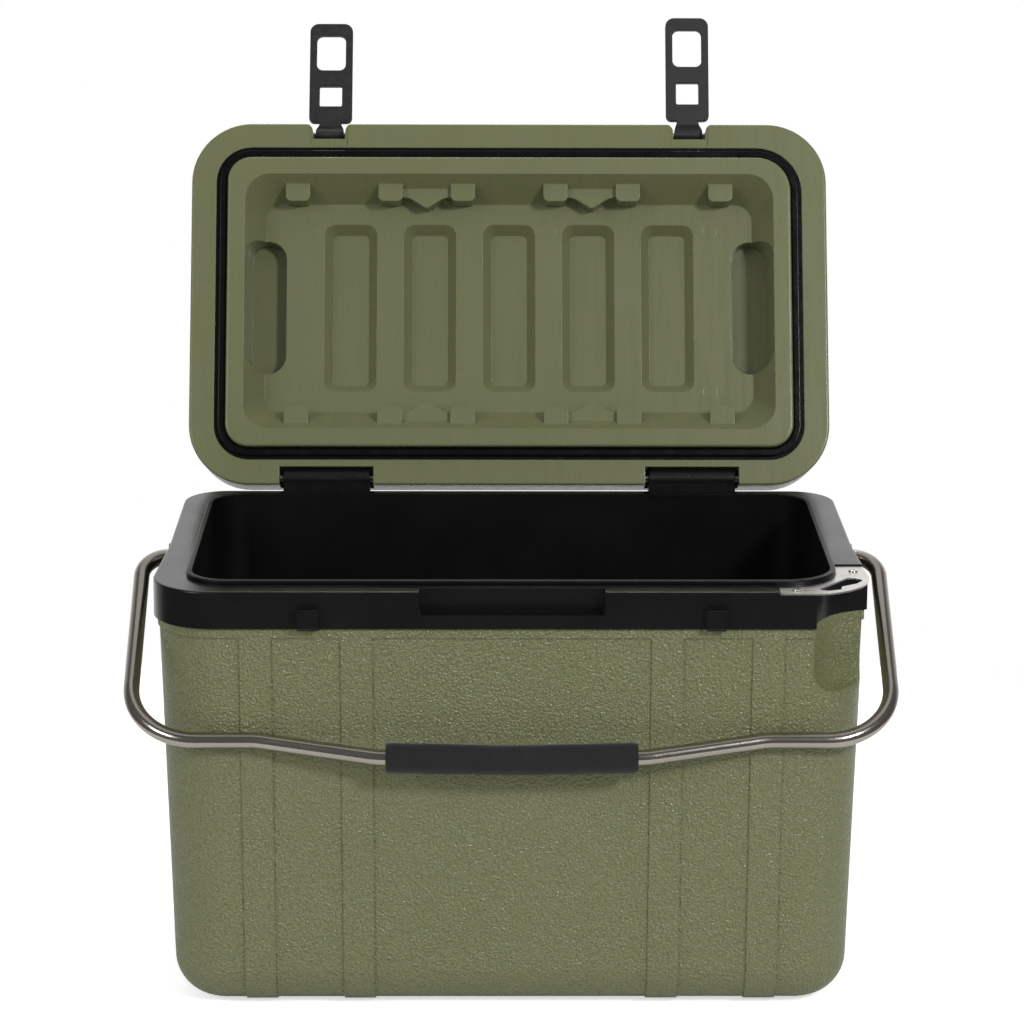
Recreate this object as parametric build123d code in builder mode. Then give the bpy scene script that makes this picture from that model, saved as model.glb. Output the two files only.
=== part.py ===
from build123d import *
from math import cos, sin, tan, radians
import os

os.makedirs("parts", exist_ok=True)

# Hard-sided cooler, in millimetres. The origin is the centre of its base, +X is to the
# right, +Z is up and the front faces -Y. The lid stands open against its stop.

# Collar round the top of the body
ledge_height = 317.0        # from the floor to the ledge, the flat top of the collar
collar_width = 500.0        # at the back
collar_depth = 290.0
collar_corner = 44.0        # at the front
collar_back_step = 12.0     # how much tighter the rear corners are
collar_flare = 6.2          # how far each side widens towards the front
flare_start = -20.0         # where along the depth the widening starts
skirt_height = 27.0
skirt_wall = 3.2
ledge_thickness = 3.0
ledge_edge = 1.6
seam = 0.3                  # gap where two skins meet
fit_gap = 0.2               # all round a piece that drops into a hole
soft_gap = 0.3              # round foam and rubber

# Body skin
skin_wall = 3.0
strip_inset = 2.0           # of the collar strip and the bands behind the skirt's face
band_proud = 1.1
body_corner = 45.0
body_draft = 1.4
strip_height = 7.0
base_round = 32.0
band_width = 22.3
outer_band_inset = 69.8     # from the collar's end to the middle of the outer band
inner_band_inset = 140.8

# Tub
ledge_width = 23.0          # from the collar's edge to the tub's mouth
tub_corner = 26.0
tub_front_right_corner = 34.0
tub_wall = 2.5
tub_draft = 1.5
tub_floor = 43.0            # height of the inner floor
tub_floor_round = 16.0
lip_width = 4.0
lip_height = 3.0
foam_drop = 8.0             # from the ledge down to the foam's top

# Bottle scoop at the front right corner
scoop_aside = (13.0, 1.5)   # its axis from the collar's corner, rightwards and backwards
scoop_radius = 50.0
scoop_skirt_wall = 1.8
scoop_strip_step = 0.3
scoop_panel_step = 0.4
scoop_skin = 1.8
scoop_depth = 77.0          # below the ledge
scoop_floor_round = 18.0
scoop_mouth_round = 3.5

# Finger notch in the middle of the collar's front
notch_width = 130.0
notch_height = 17.0
notch_depth = 11.0
notch_wall = 2.5
notch_round = 2.5

# Strap catches on the collar's front
catch_width = 14.3
catch_offset = 1.4          # further out than the straps' middles
catch_height = 15.4
catch_reach = 6.5
catch_ease = 1.8            # off its lower edge
catch_drop = 11.6           # from the ledge to its top
strap_inset = 108.5         # from the collar's ends to the straps and the hinges

# Stiffening ribs under the side ledges
rib_count = 4
rib_pitch = 39.0
rib_shift = 9.5             # of their middle behind the collar's
rib_thickness = 1.5
rib_height = 4.0

# Bottle opener plate, whose slot is given from the collar's corner
plate_thickness = 1.2
plate_sink = 2.4            # how deep it sits in the ledge
plate_pad = 2.6             # ledge under it
plate_edge = 0.5
plate_left_reach = 62.5
plate_back_reach = 73.0
plate_gap = 0.9
pad_margin = 2.0            # how far the pad reaches past the plate
slot_outline = (
    ((-36.0, 12.0), 1.5),
    ((-10.5, 44.0), 4.5),
    ((-0.5, 37.0), 4.5),
    ((-6.5, 27.5), 3.0),
    ((-18.0, 19.5), 0.5),
    ((-19.2, 12.0), 0.8),
    ((-28.5, 8.5), 4.0),
)
opener_screw_reaches = ((-50.5, 8.5), (-6.0, 59.0))
opener_screw_radius = 1.6
opener_screw_head = 3.3
opener_screw_head_height = 1.3
opener_screw_length = 6.0

# Lid
lid_margin = 1.5            # inside the collar's outline, all round
lid_corner = 47.0
lid_thickness = 52.0
lid_draft = 3.0
lid_wall = 3.0
notch_skin = 2.0            # walls of the lid's notches
lid_top_round = 12.0
lid_tray_inset = 34.0
lid_tray_depth = 1.5
flange_thickness = 3.0
flange_width = 19.4
gasket_width = 9.2
gasket_bulb = 2.8           # how far the gasket stands out of the flange
gasket_clearance = 0.5      # between its bulb and the lip of the tub
plug_proud = 8.0
plug_width = 13.7
liner_wall = 2.5
recess_depth = 28.0
recess_side_slope = 15.0
recess_end_slope = 18.0
recess_corner = 20.0
recess_floor_corner = 14.0
lid_open_angle = 113.2

# Panels, pockets, lugs and brackets inside the lid
panel_count = 5
panel_pitch = 62.2
panel_width = 41.2
panel_end_gap = 16.3        # from the recess floor's edge to a panel's end
panel_corner = 8.5
panel_depth = 10.0
panel_slope = 6.6
pocket_width = 33.0
pocket_end_gap = 46.3       # from the ridge's inner edge to a pocket's end
pocket_depth = 14.0
pocket_slope = 3.0
lug_places = (36.3, 93.0, 165.5)  # from the lid's middle
lug_width = 19.1
lug_reach = 62.0            # from the lid's edge to the lug's far face
lug_level = 1.0             # behind the flange
lug_corner = 4.5
bracket_level = 5.5
bracket_reach = 58.0
bracket_tip = 67.0

# Hinges
hinge_inset = 7.9           # of the axis from the collar's back
hinge_height = 12.0         # of the axis above the ledge
hinge_width = 67.0
hinge_notch_width = 72.7
hinge_notch_depth = 14.0
hinge_notch_rise = 18.5     # of its end above the axis
barrel_radius = 7.0
block_front = 6.7           # from the axis to the block's front face
hinge_pin_radius = 2.5
hinge_pin_grip = 8.0        # how far each end goes into the lid
running_gap = 0.05
leaf_thickness = 4.0
leaf_drop = 24.0            # how far the rear leaf reaches below the ledge
leaf_top = 6.0              # how far it reaches above the ledge
hinge_screw_radius = 2.0
hinge_screw_head = 4.0
hinge_screw_head_height = 2.2
hinge_screw_length = 16.0
hinge_screw_spacing = 40.0
hinge_screw_drop = 14.0
boss_depth = 14.0

# Straps
strap_width = 34.0
strap_thickness = 5.0
strap_gap = 1.0             # between the hanging strap and the skirt
strap_pin_inset = 5.2       # from the lid's front edge to the pin
strap_pin_height = 17.0     # above the ledge
strap_pin_radius = 1.5
strap_pin_grip = 6.0
strap_notch_width = 25.4
strap_notch_depth = 12.0
strap_notch_round = 6.0
strap_notch_rise = 18.0     # of its end above the pin
strap_recess_width = 29.5   # of the shallow recess behind each strap notch
strap_recess_depth = 0.9
strap_barrel_radius = 4.0
strap_barrel_width = 21.8
neck_width = 16.5           # where it meets the blade
shoulder_reach = 13.7       # along the strap, from the pin
strap_reach = 98.2
small_window = (17.8, 17.4, 1.2)
small_window_reach = 27.4   # to its near edge
big_window = (23.0, 30.1, 5.0)
big_window_reach = 58.2
strap_end_corner = 7.0
strap_shoulder_corner = 4.4
strap_fold_right = -90.0    # from hanging to where it stands in the open lid
strap_fold_left = -97.0

# Bail
tube_radius = 5.75
tube_wall = 1.2
bail_drop = 14.0            # from the ledge down to its axis
bail_rest_angle = 32.5      # below the horizontal, leaning on the front
bail_overhang = 21.0        # of each arm's middle beyond the collar's back half
bail_standoff = 2.25        # of the cross bar's middle in front of the collar
bail_shoulder_inset = 70.0
bail_neck = 95.0
bail_neck_drop = 15.5       # how much further the bar reaches at the grip's ends
bail_middle_drop = 18.0
bail_pivot_bend = 19.0
bail_corner_bend = 49.0
bail_shoulder_bend = 45.0
bail_neck_bend = 60.0
bail_middle_bend = 900.0
tube_end_inset = 17.5       # of the tube's ends inside the collar
grip_radius = 11.0
grip_length = 178.0
bush_radius = 8.5
bush_flange_radius = 10.0
bush_flange_thickness = 1.8
bush_length = 13.5
retainer_radius = 7.6
retainer_thickness = 2.6

# Heights and places that follow from the sizes above
skirt_bottom = ledge_height - skirt_height
body_top = skirt_bottom - seam
foam_top = ledge_height - foam_drop
panel_inset = strip_inset + band_proud
half_collar = collar_width / 2
half_depth = collar_depth / 2
tub_width = collar_width - 2 * ledge_width
tub_depth = collar_depth - 2 * ledge_width
lid_width = collar_width - 2 * lid_margin
lid_depth = collar_depth - 2 * lid_margin
outer_band = half_collar - outer_band_inset
inner_band = half_collar - inner_band_inset
scoop_centre = (half_collar + scoop_aside[0], scoop_aside[1] - half_depth)
scoop_wall_radius = scoop_radius + scoop_strip_step + scoop_panel_step
strap_x = half_collar - strap_inset
catch_x = strap_x + catch_offset
opener_screw_places = [(half_collar + x, y - half_depth) for x, y in opener_screw_reaches]
flange_height = ledge_height + lip_height + seam
lid_front = -lid_depth / 2
lid_back = lid_depth / 2
hinge_y = half_depth - hinge_inset
hinge_z = ledge_height + hinge_height
hinge_axis = Axis((0, hinge_y, hinge_z), (1, 0, 0))
pin_y = lid_front + strap_pin_inset
pin_z = ledge_height + strap_pin_height
strap_axis = Axis((0, pin_y, pin_z), (1, 0, 0))
bail_z = ledge_height - bail_drop
bail_half_width = half_collar + bail_overhang
bail_reach = (half_depth + bail_standoff) / cos(radians(bail_rest_angle))
tube_end = half_collar - tube_end_inset
bush_inner_end = half_collar - bush_length
front_right_growth = tub_front_right_corner - tub_corner
lid_top = flange_height + lid_thickness
skin_height = flange_height + flange_thickness
groove_top = flange_height + flange_thickness
floor_height = flange_height - plug_proud + recess_depth
plug_inset = flange_width + gasket_width
bulb_inset = ledge_width - lid_margin + gasket_clearance
recess_inset = plug_inset + plug_width
recess_depth_half = lid_depth / 2 - recess_inset
panel_length = 2 * (recess_depth_half - recess_end_slope - panel_end_gap)
pocket_length = 2 * (recess_depth_half - pocket_end_gap)
open_lid = -lid_open_angle


def collar_face(inset, corner):
    """Outline of the collar, inset evenly: straight at the back, flared towards the front."""
    back_half = half_collar - inset
    front_half = back_half + collar_flare
    end = half_depth - inset
    with BuildSketch() as face:
        with BuildLine():
            Polyline(
                (front_half, -end),
                (back_half, flare_start),
                (back_half, end),
                (-back_half, end),
                (-back_half, flare_start),
                (-front_half, -end),
                close=True,
            )
        make_face()
        fillet(face.vertices().group_by(Axis.Y)[0], corner)
        fillet(face.vertices().group_by(Axis.Y)[-1], corner - collar_back_step)
    return face.sketch


def plan_face(width, depth, corner, front_right):
    """Rounded rectangle whose front right corner has a radius of its own."""
    with BuildSketch() as face:
        Rectangle(width, depth)
        fillet(face.vertices().sort_by(Axis.X)[2:].sort_by(Axis.Y)[0], front_right)
        square = face.vertices().filter_by(
            lambda v: abs(v.X) + abs(v.Y) > (width + depth) / 2 - 0.01
        )
        fillet(square, corner)
    return face.sketch


def mouth_face(growth):
    """Outline of the tub's mouth, grown evenly."""
    return plan_face(
        tub_width + 2 * growth,
        tub_depth + 2 * growth,
        tub_corner + growth,
        tub_front_right_corner + growth,
    )


def lid_face(inset):
    """Outline inside the lid, inset evenly, whose corners follow the tub's mouth."""
    return plan_face(
        lid_width - 2 * inset,
        lid_depth - 2 * inset,
        lid_corner - inset,
        lid_corner + front_right_growth - inset,
    )


def scoop_tool(radius, bottom):
    """Upright cylinder that hollows the front right corner."""
    with BuildPart() as tool:
        with BuildSketch(Plane.XY.offset(bottom)):
            with Locations(scoop_centre):
                Circle(radius)
        extrude(amount=ledge_height + lid_thickness - bottom)
    return tool.part


def scoop_dish(growth):
    """The scoop in the body's skin, with its rounded floor, grown evenly."""
    with BuildPart() as tool:
        add(scoop_tool(scoop_wall_radius + growth, ledge_height - scoop_depth - growth))
        fillet(tool.faces().sort_by(Axis.Z)[0].edges(), scoop_floor_round + growth)
    return tool.part


def block(x, y, z):
    """Box between two limits on each axis."""
    with BuildPart() as box:
        with Locations(((x[0] + x[1]) / 2, (y[0] + y[1]) / 2, (z[0] + z[1]) / 2)):
            Box(x[1] - x[0], y[1] - y[0], z[1] - z[0])
    return box.part


def save(part, name):
    """Name a finished piece and write it."""
    part.label = name
    export_step(part, f"parts/{name}.step")


# Places shared by the holes, pockets and screws
hinge_screw_x = [
    side * strap_x + step
    for side in (-1, 1)
    for step in (-hinge_screw_spacing / 2, hinge_screw_spacing / 2)
]
hinge_screw_z = ledge_height - hinge_screw_drop


def rear_holes(radius):
    """Bars along Y where the hinge screws pass the collar and the skin."""
    with BuildPart() as bars:
        for x in hinge_screw_x:
            with BuildSketch(Plane.XZ.offset(-half_depth - seam)):
                with Locations((x, hinge_screw_z)):
                    Circle(radius)
            extrude(amount=hinge_screw_length)
    return bars.part


def side_holes(radius):
    """Bars along X where the bail's bushes pass the collar and the skin."""
    with BuildPart() as bars:
        for side in (-1, 1):
            with BuildSketch(Plane.YZ.offset(side * (half_collar + collar_flare))):
                with Locations((0, bail_z)):
                    Circle(radius)
            extrude(amount=-side * (half_collar + collar_flare - bush_inner_end))
    return bars.part


# Collar: ledge, skirt, catches, finger notch and recessed corner
def plate_region(inset, left_reach, back_reach, growth):
    """Corner of the ledge that the opener plate covers, seen from above."""
    with BuildSketch() as face:
        add(collar_face(inset, collar_corner - inset))
        with Locations((half_collar, -half_depth)):
            Rectangle(2 * left_reach, 2 * back_reach, mode=Mode.INTERSECT)
        add(mouth_face(lip_width + growth), mode=Mode.SUBTRACT)
    return face.sketch


plate_bottom = ledge_height - plate_sink
tub_gap = tub_wall - lip_width + fit_gap

with BuildPart() as collar:
    with BuildSketch(Plane.XY.offset(skirt_bottom)):
        add(collar_face(0, collar_corner))
    extrude(amount=skirt_height)
    fillet(collar.faces().sort_by(Axis.Z)[-1].edges(), ledge_edge)
    with BuildSketch(Plane.XY.offset(skirt_bottom)):
        add(collar_face(skirt_wall, collar_corner - skirt_wall))
    extrude(amount=skirt_height - ledge_thickness, mode=Mode.SUBTRACT)
    # walls of the finger notch
    add(
        block(
            (-notch_width / 2 - notch_wall, notch_width / 2 + notch_wall),
            (-half_depth + skirt_wall / 2, -half_depth + notch_depth + notch_wall),
            (ledge_height - notch_height - notch_wall, ledge_height - ledge_thickness),
        )
    )
    with BuildSketch(Plane.XZ.offset(half_depth - notch_depth)) as notch:
        with Locations((0, ledge_height)):
            RectangleRounded(notch_width, 2 * notch_height, notch_round)
    extrude(amount=notch_depth + seam, mode=Mode.SUBTRACT)
    with BuildSketch(Plane.XY.offset(skirt_bottom)):
        add(mouth_face(tub_wall + fit_gap))
    extrude(amount=skirt_height, mode=Mode.SUBTRACT)
    # thickened seat of the opener plate, then the scoop and the thin skirt behind it
    with BuildSketch(Plane.XY.offset(plate_bottom - plate_pad)):
        add(
            plate_region(
                skirt_wall / 2, plate_left_reach + pad_margin, plate_back_reach + pad_margin, tub_gap
            )
        )
    extrude(amount=plate_pad)
    with BuildSketch(Plane.XY.offset(plate_bottom)):
        add(
            plate_region(
                -seam, plate_left_reach + plate_gap, plate_back_reach + plate_gap, 0
            )
        )
    extrude(amount=plate_sink, mode=Mode.SUBTRACT)
    add(scoop_tool(scoop_radius, 0), mode=Mode.SUBTRACT)
    with BuildSketch(Plane.XY.offset(skirt_bottom)):
        add(collar_face(0, collar_corner))
        with Locations(scoop_centre):
            Circle(scoop_radius + scoop_skirt_wall, mode=Mode.INTERSECT)
            Circle(scoop_radius, mode=Mode.SUBTRACT)
    extrude(amount=skirt_height - plate_sink)
    # strap catches, eased below so that a strap's window can swing over them
    catch_top = ledge_height - catch_drop
    catch_front = -half_depth - catch_reach
    for side in (-1, 1):
        with BuildSketch(Plane.YZ.offset(side * catch_x - catch_width / 2)) as catch:
            with BuildLine():
                Polyline(
                    (-half_depth + skirt_wall / 2, catch_top),
                    (catch_front, catch_top),
                    (catch_front, catch_top - catch_height + catch_ease),
                    (catch_front + catch_ease, catch_top - catch_height),
                    (-half_depth + skirt_wall / 2, catch_top - catch_height),
                    close=True,
                )
            make_face()
            fillet(catch.vertices().group_by(Axis.X)[0], 0.8)
        extrude(amount=catch_width)
    # ribs under the side ledges
    for side in (-1, 1):
        with BuildSketch(Plane.XY.offset(ledge_height - ledge_thickness)):
            with Locations((side * (tub_width / 2 + tub_wall + fit_gap + 6.0), rib_shift)):
                with GridLocations(1, rib_pitch, 1, rib_count):
                    Rectangle(12.0, rib_thickness)
        extrude(amount=-rib_height)
    add(side_holes(bush_radius + running_gap), mode=Mode.SUBTRACT)
    add(rear_holes(hinge_screw_radius + running_gap), mode=Mode.SUBTRACT)
    with BuildSketch(Plane.XY.offset(ledge_height)):
        with Locations(*opener_screw_places):
            Circle(opener_screw_radius + running_gap)
    extrude(amount=-plate_sink - plate_pad, mode=Mode.SUBTRACT)
save(collar.part, "rim_frame")


# Body skin: panels, with the collar strip and the bands standing proud
def body_solid(inset, bottom, corner, rounding):
    """Drafted, round-bottomed body down from just under the skirt."""
    with BuildPart() as solid:
        with BuildSketch(Plane.XY.offset(body_top)):
            add(collar_face(inset, corner))
        extrude(amount=-(body_top - bottom), taper=body_draft)
        fillet(solid.faces().sort_by(Axis.Z)[0].edges(), rounding)
    return solid.part


proud_skin = body_solid(strip_inset, 0, body_corner, base_round)
with BuildPart() as bands:
    for x in (-outer_band, -inner_band, inner_band, outer_band):
        add(
            block(
                (x - band_width / 2, x + band_width / 2),
                (-half_depth, half_depth),
                (0, body_top),
            )
        )
    add(
        block(
            (-collar_width, collar_width),
            (-half_depth, half_depth),
            (body_top - strip_height, body_top),
        )
    )
    # flat underside that the body stands on
    with BuildSketch():
        RectangleRounded(
            collar_width - 2 * (base_round + panel_inset) - 20,
            collar_depth - 2 * (base_round + panel_inset) - 20,
            collar_corner / 2,
        )
    extrude(amount=band_proud)
    add(proud_skin, mode=Mode.INTERSECT)

with BuildPart() as cavity:
    add(
        body_solid(
            panel_inset + skin_wall,
            band_proud + skin_wall,
            body_corner - skin_wall,
            base_round - skin_wall,
        )
    )
    with BuildSketch(Plane.XY.offset(body_top)):
        add(collar_face(panel_inset + skin_wall, body_corner - skin_wall))
    extrude(amount=skirt_height)
    add(scoop_dish(scoop_skin), mode=Mode.SUBTRACT)

panelled_body = body_solid(panel_inset, band_proud, body_corner, base_round - band_proud)
body_surface = panelled_body.shell()
with BuildPart() as skin:
    add(panelled_body)
    add(scoop_dish(0), mode=Mode.SUBTRACT)
    mouth = skin.edges(Select.LAST).filter_by(
        lambda e: (e @ 0.5).Z < body_top - 0.1 and body_surface.distance_to(e @ 0.5) < 0.01
    )
    fillet(mouth, scoop_mouth_round)
    add(bands.part)
    with BuildSketch(Plane.XY.offset(body_top)):
        add(collar_face(skirt_wall + seam, body_corner))
    extrude(amount=skirt_height - ledge_thickness)
    with BuildSketch(Plane.XY.offset(body_top - strip_height)):
        with Locations(scoop_centre):
            Circle(scoop_wall_radius)
    extrude(amount=skirt_height + strip_height, mode=Mode.SUBTRACT)
    with BuildSketch(Plane.XY.offset(body_top - strip_height)):
        add(collar_face(strip_inset, body_corner))
        with Locations(scoop_centre):
            Circle(scoop_wall_radius + scoop_skin / 2, mode=Mode.INTERSECT)
            Circle(scoop_radius + scoop_strip_step, mode=Mode.SUBTRACT)
    extrude(amount=strip_height)
    add(cavity.part, mode=Mode.SUBTRACT)
    # the neck stops where the skirt is recessed, and drops under the opener's seat and
    # the finger notch
    with BuildSketch(Plane.XY.offset(body_top)):
        with Locations(scoop_centre):
            Circle(scoop_radius + scoop_skirt_wall + seam)
    extrude(amount=skirt_height, mode=Mode.SUBTRACT)
    with BuildSketch(Plane.XY.offset(plate_bottom - plate_pad - seam)):
        with Locations((half_collar, -half_depth)):
            Rectangle(
                2 * (plate_left_reach + pad_margin + seam),
                2 * (plate_back_reach + pad_margin + seam),
            )
    extrude(amount=skirt_height, mode=Mode.SUBTRACT)
    add(
        block(
            (-notch_width / 2 - notch_wall - seam, notch_width / 2 + notch_wall + seam),
            (-half_depth, -half_depth + notch_depth + notch_wall + seam),
            (ledge_height - notch_height - notch_wall - seam, ledge_height),
        ),
        mode=Mode.SUBTRACT,
    )
    add(side_holes(bush_radius + running_gap), mode=Mode.SUBTRACT)
    add(rear_holes(hinge_screw_radius + running_gap), mode=Mode.SUBTRACT)
save(skin.part, "outer_shell")


# Tub
def tub_solid(growth, top, bottom, rounding):
    """Drafted tub shape between two heights."""
    with BuildPart() as solid:
        with BuildSketch(Plane.XY.offset(ledge_height)):
            add(mouth_face(growth))
        extrude(amount=-(ledge_height - bottom), taper=tub_draft)
        fillet(solid.faces().sort_by(Axis.Z)[0].edges(), rounding)
        if top > ledge_height:
            with BuildSketch(Plane.XY.offset(ledge_height)):
                add(mouth_face(growth))
            extrude(amount=top - ledge_height)
    return solid.part


with BuildPart() as tub:
    add(tub_solid(tub_wall, ledge_height, tub_floor - tub_wall, tub_floor_round + tub_wall))
    with BuildSketch(Plane.XY.offset(ledge_height)):
        add(mouth_face(lip_width))
    extrude(amount=lip_height)
    fillet(tub.faces().sort_by(Axis.Z)[-1].edges(), lip_height / 3)
    add(tub_solid(0, ledge_height + lip_height, tub_floor, tub_floor_round), mode=Mode.SUBTRACT)
save(tub.part, "tub_liner")

# Foam between the skin and the tub
with BuildPart() as foam:
    add(
        body_solid(
            panel_inset + skin_wall + soft_gap,
            band_proud + skin_wall + soft_gap,
            body_corner - skin_wall,
            base_round - skin_wall,
        )
    )
    with BuildSketch(Plane.XY.offset(body_top)):
        add(collar_face(panel_inset + skin_wall + soft_gap, body_corner - skin_wall))
    extrude(amount=foam_top - body_top)
    add(
        tub_solid(
            tub_wall + soft_gap, ledge_height, tub_floor - tub_wall - soft_gap, tub_floor_round
        ),
        mode=Mode.SUBTRACT,
    )
    add(scoop_dish(scoop_skin + 10 * soft_gap), mode=Mode.SUBTRACT)
    for side in (-1, 1):
        near, far = sorted((side * (tub_width / 2), side * (half_collar + collar_flare)))
        add(
            block(
                (near, far),
                (-bush_flange_radius - 2, bush_flange_radius + 2),
                (bail_z - bush_flange_radius - 2, ledge_height),
            ),
            mode=Mode.SUBTRACT,
        )
        add(
            block(
                (side * strap_x - hinge_width / 2, side * strap_x + hinge_width / 2),
                (half_depth - hinge_screw_length, half_depth),
                (hinge_screw_z - 5, ledge_height),
            ),
            mode=Mode.SUBTRACT,
        )
    add(
        block(
            (-notch_width / 2 - notch_wall - seam, notch_width / 2 + notch_wall + seam),
            (-half_depth, -half_depth + notch_depth + notch_wall + seam),
            (ledge_height - notch_height - notch_wall - seam, ledge_height),
        ),
        mode=Mode.SUBTRACT,
    )
save(foam.part, "foam_core")

# Bottle opener and its screws
plate_top = plate_bottom + plate_thickness
slot_corners = [Vector(half_collar + x, y - half_depth) for (x, y), rounding in slot_outline]
with BuildSketch(Plane.XY.offset(plate_bottom)) as slot:
    with BuildLine():
        Polyline(*slot_corners, close=True)
    make_face()
    for corner, (place, rounding) in zip(slot_corners, slot_outline):
        fillet(slot.vertices().sort_by_distance(corner + Vector(0, 0, plate_bottom))[0], rounding)
with BuildPart() as opener:
    with BuildSketch(Plane.XY.offset(plate_bottom)):
        add(plate_region(plate_edge, plate_left_reach, plate_back_reach, soft_gap))
    extrude(amount=plate_thickness)
    extrude(slot.sketch, amount=plate_thickness, mode=Mode.SUBTRACT)
    with BuildSketch(Plane.XY.offset(plate_top)):
        with Locations(*opener_screw_places):
            Circle(opener_screw_radius + fit_gap)
    extrude(amount=-plate_thickness, mode=Mode.SUBTRACT)
save(opener.part, "bottle_opener")

with BuildPart() as opener_screws:
    with BuildSketch(Plane.XY.offset(plate_top)):
        with Locations(*opener_screw_places):
            Circle(opener_screw_head)
    extrude(amount=opener_screw_head_height)
    fillet(opener_screws.faces().filter_by(Axis.Z).group_by(Axis.Z)[-1].edges(), 0.9)
    with BuildSketch(Plane.XY.offset(plate_top)):
        with Locations(*opener_screw_places):
            Circle(opener_screw_radius)
    extrude(amount=-opener_screw_length)
    with BuildSketch(Plane.XY.offset(plate_top + opener_screw_head_height)):
        with Locations(*opener_screw_places):
            RegularPolygon(opener_screw_radius * 0.8, 6)
    extrude(amount=-opener_screw_head_height * 0.7, mode=Mode.SUBTRACT)
save(opener_screws.part, "opener_screws")


# Hinges: one block, one pin and two screws on each side
def hinge_block(x):
    """Knuckle and rear leaf in one piece, with the pin's bore and the screw holes."""
    with BuildPart() as knuckle:
        with BuildSketch(Plane.YZ.offset(x - hinge_width / 2)):
            with BuildLine():
                Polyline(
                    (hinge_y - block_front, ledge_height),
                    (hinge_y - block_front, hinge_z),
                    (hinge_y + block_front, hinge_z),
                    (half_depth + leaf_thickness, ledge_height + leaf_top),
                    (half_depth + leaf_thickness, ledge_height - leaf_drop),
                    (half_depth, ledge_height - leaf_drop),
                    (half_depth, ledge_height),
                    close=True,
                )
            make_face()
            with Locations((hinge_y, hinge_z)):
                Circle(barrel_radius)
        extrude(amount=hinge_width)
        ends = knuckle.faces().filter_by(Axis.X)
        chamfer(ends.edges(), 0.8)
        with BuildSketch(Plane.YZ.offset(x - hinge_width / 2)):
            with Locations((hinge_y, hinge_z)):
                Circle(hinge_pin_radius + running_gap)
        extrude(amount=hinge_width, mode=Mode.SUBTRACT)
        with BuildSketch(Plane.XZ.offset(-half_depth - leaf_thickness)):
            with Locations((x, hinge_screw_z)):
                with GridLocations(hinge_screw_spacing, 1, 2, 1):
                    Circle(hinge_screw_radius + fit_gap)
        extrude(amount=leaf_thickness, mode=Mode.SUBTRACT)
    return knuckle.part


def hinge_pin(x):
    """Pin through the block into both cheeks of the lid's notch."""
    length = hinge_notch_width + 2 * hinge_pin_grip
    with BuildPart() as pin:
        with BuildSketch(Plane.YZ.offset(x - length / 2)):
            with Locations((hinge_y, hinge_z)):
                Circle(hinge_pin_radius)
        extrude(amount=length)
        chamfer(pin.faces().filter_by(Axis.X).edges(), 0.5)
    return pin.part


save(hinge_block(-strap_x), "left_hinge_block")
save(hinge_block(strap_x), "right_hinge_block")
save(hinge_pin(-strap_x).rotate(hinge_axis, open_lid), "left_hinge_pin")
save(hinge_pin(strap_x).rotate(hinge_axis, open_lid), "right_hinge_pin")

screw_seat = -half_depth - leaf_thickness
with BuildPart() as hinge_screws:
    with BuildSketch(Plane.XZ.offset(screw_seat)):
        with Locations(*[(x, hinge_screw_z) for x in hinge_screw_x]):
            Circle(hinge_screw_head)
    extrude(amount=-hinge_screw_head_height)
    fillet(hinge_screws.faces().filter_by(Axis.Y).group_by(Axis.Y)[-1].edges(), 1.2)
    with BuildSketch(Plane.XZ.offset(screw_seat)):
        with Locations(*[(x, hinge_screw_z) for x in hinge_screw_x]):
            Circle(hinge_screw_radius)
    extrude(amount=hinge_screw_length)
    with BuildSketch(Plane.XZ.offset(screw_seat - hinge_screw_head_height)):
        with Locations(*[(x, hinge_screw_z) for x in hinge_screw_x]):
            Rectangle(hinge_screw_head, 0.9)
            Rectangle(0.9, hinge_screw_head)
    extrude(amount=hinge_screw_head_height * 0.6, mode=Mode.SUBTRACT)
save(hinge_screws.part, "hinge_screws")


# Lid, modelled closed and then swung open. Its notches:
def strap_notches(growth, mouth=0.0):
    """Notches for the straps in the lid's front edge, grown by a wall or with round mouths."""
    width = strap_notch_width + 2 * growth
    with BuildPart() as notches:
        for side in (-1, 1):
            with BuildSketch(Plane.XY.offset(flange_height)):
                with Locations((side * strap_x, lid_front)):
                    Rectangle(width, 2 * (strap_notch_depth + growth))
                    if mouth > 0:
                        Rectangle(width + 2 * mouth, 2 * mouth)
                if mouth > 0:
                    with Locations((side * strap_x, lid_front + mouth)):
                        with GridLocations(width + 2 * mouth, 1, 2, 1):
                            Circle(mouth, mode=Mode.SUBTRACT)
            extrude(amount=pin_z + strap_notch_rise + growth - flange_height)
    return notches.part


def hinge_notches(growth):
    """Notches for the hinge blocks in the lid's rear edge."""
    with BuildPart() as notches:
        for side in (-1, 1):
            with BuildSketch(Plane.XY.offset(flange_height)):
                with Locations((side * strap_x, lid_back)):
                    Rectangle(hinge_notch_width + 2 * growth, 2 * (hinge_notch_depth + growth))
            extrude(amount=hinge_z + hinge_notch_rise + growth - flange_height)
    return notches.part


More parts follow.
